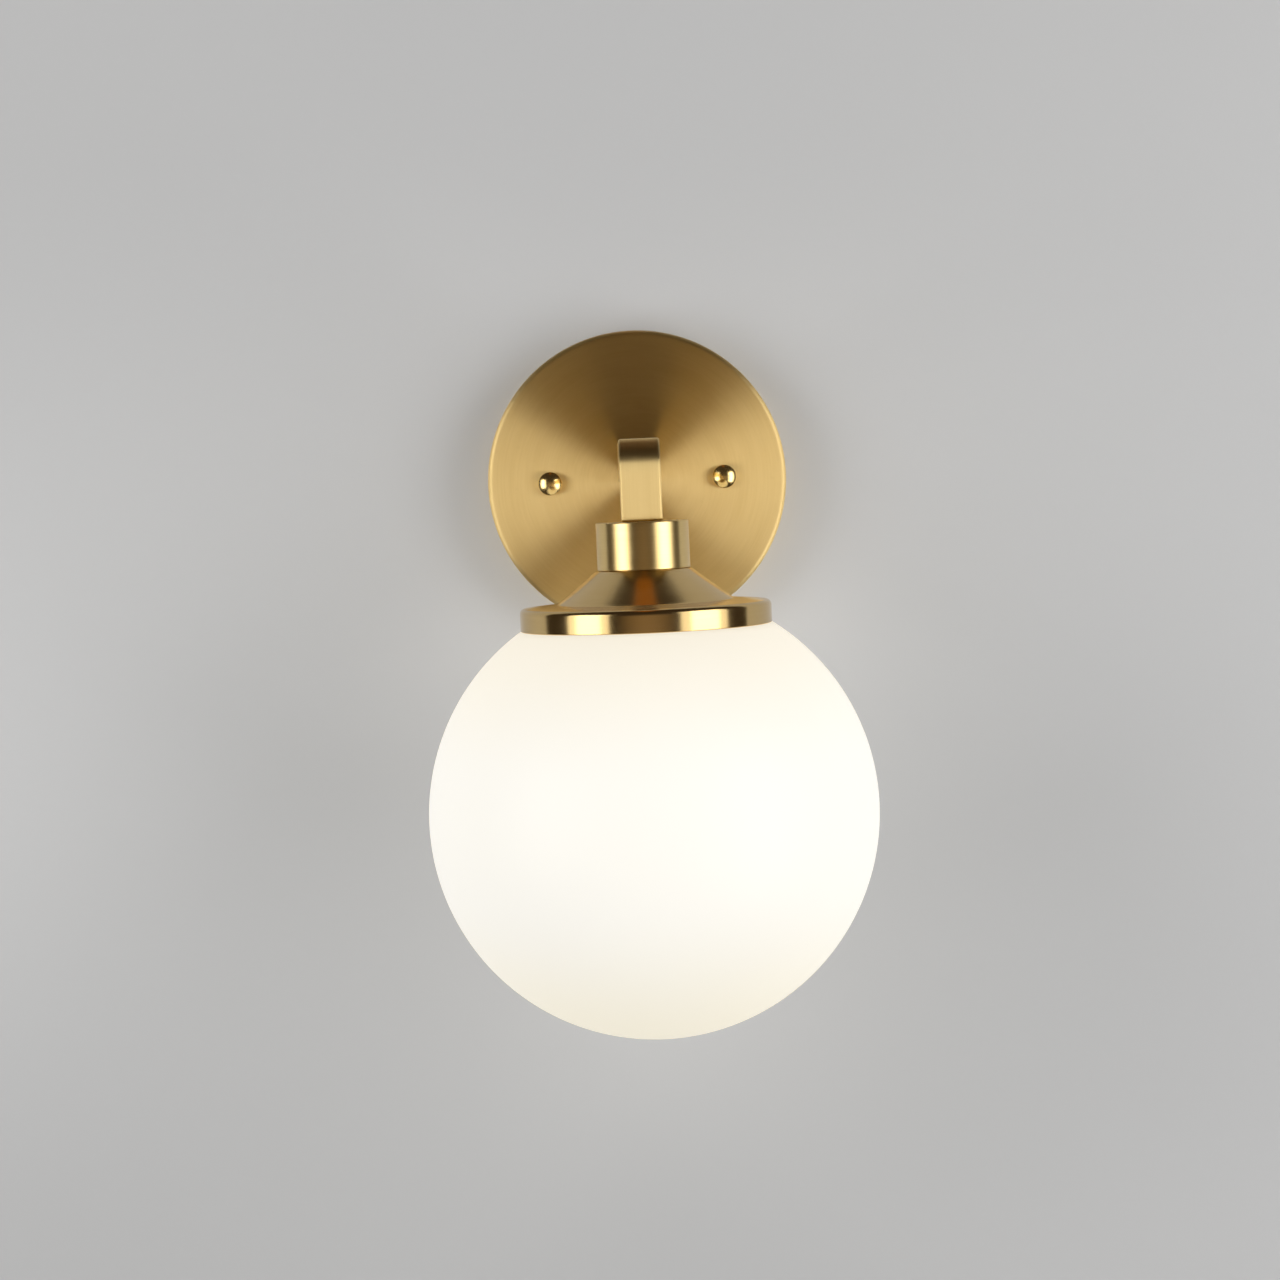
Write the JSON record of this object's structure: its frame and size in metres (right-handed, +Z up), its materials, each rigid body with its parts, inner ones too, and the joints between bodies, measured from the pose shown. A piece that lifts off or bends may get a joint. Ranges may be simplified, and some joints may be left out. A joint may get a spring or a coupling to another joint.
{
  "type": "wall sconce",
  "caption": "Brass wall light: round plate held by domed knobs, square-tube arm that turns down, spun cone holder and a lit opal glass globe that screws in.",
  "frame": {"origin": "centre of the wall plate's back, on the wall", "axes": "+Z up, -Y out of the wall to the front, +X to the right as seen from the front"},
  "size_m": [0.165, 0.2025, 0.2645],
  "materials": {
    "satin_brass": "fine brushed satin brass",
    "polished_brass": "polished brass",
    "plain_brass": "plain machined brass",
    "zinc_steel": "zinc-plated steel",
    "green_screw": "green-dyed zinc",
    "block_plastic": "moulded plastic",
    "lead_black": "lead insulation",
    "lead_white": "lead insulation",
    "porcelain": "glazed porcelain",
    "gasket_rubber": "silicone rubber",
    "opal_glass": "matt opal white glass, lit from inside",
    "bulb_metal": "pressed aluminium",
    "bulb_black": "black insulation",
    "bulb_white": "white plastic",
    "bulb_milky": "milky diffuser, lit"
  },
  "bodies": {
    "fixture": {"wall_plate": "satin_brass", "arm_tube": "satin_brass", "collar": "satin_brass", "shade_holder": "satin_brass", "arm_root_plug": "plain_brass", "arm_end_plug": "plain_brass", "arm_root_nipple": "plain_brass", "head_nipple": "plain_brass", "glass_thread_ring": "plain_brass", "lampholder_shell": "plain_brass", "lampholder_terminals": "plain_brass", "centre_contact": "plain_brass", "crossbar": "zinc_steel", "mounting_studs": "zinc_steel", "stud_lock_nuts": "zinc_steel", "terminal_screws": "zinc_steel", "terminal_block_screw": "zinc_steel", "arm_root_washer": "zinc_steel", "arm_root_nut": "zinc_steel", "head_washer": "zinc_steel", "head_lock_nut": "zinc_steel", "lampholder_cap": "zinc_steel", "ground_screw": "green_screw", "terminal_block": "block_plastic", "live_lead": "lead_black", "neutral_lead": "lead_white", "lampholder_body": "porcelain"},
    "left_knob": {"left_dome_knob": "polished_brass"},
    "right_knob": {"right_dome_knob": "polished_brass"},
    "gasket": {"globe_gasket": "gasket_rubber"},
    "globe": {"glass_globe": "opal_glass"},
    "bulb": {"bulb_tip": "plain_brass", "bulb_insulator": "bulb_black", "bulb_base": "bulb_metal", "bulb_housing": "bulb_white", "bulb_led_board": "bulb_metal", "bulb_diffuser": "bulb_milky"}
  },
  "joints": [
    {"name": "left_knob_turn", "type": "hinge", "parent": "fixture", "child": "left_knob", "pos_m": [-0.035, -0.0225, 0], "axis": [0, -1, 0], "continuous": true},
    {"name": "right_knob_turn", "type": "hinge", "parent": "fixture", "child": "right_knob", "pos_m": [0.035, -0.0225, 0], "axis": [0, -1, 0], "continuous": true},
    {"name": "globe_lower", "type": "slide", "parent": "fixture", "child": "gasket", "axis": [0, 0, -1], "range_m": [0, 0.00625]},
    {"name": "globe_twist", "type": "hinge", "parent": "gasket", "child": "globe", "pos_m": [0, -0.12, -0.1222], "axis": [0, 0, -1], "range_deg": [0, 450]},
    {"name": "bulb_turn", "type": "hinge", "parent": "fixture", "child": "bulb", "pos_m": [0, -0.12, -0.1], "axis": [0, 0, -1], "range_deg": [0, 1800]}
  ],
  "couplings": [
    {"joint": "globe_lower", "follows": "globe_twist", "m_per_rad": 0.00079577}
  ]
}
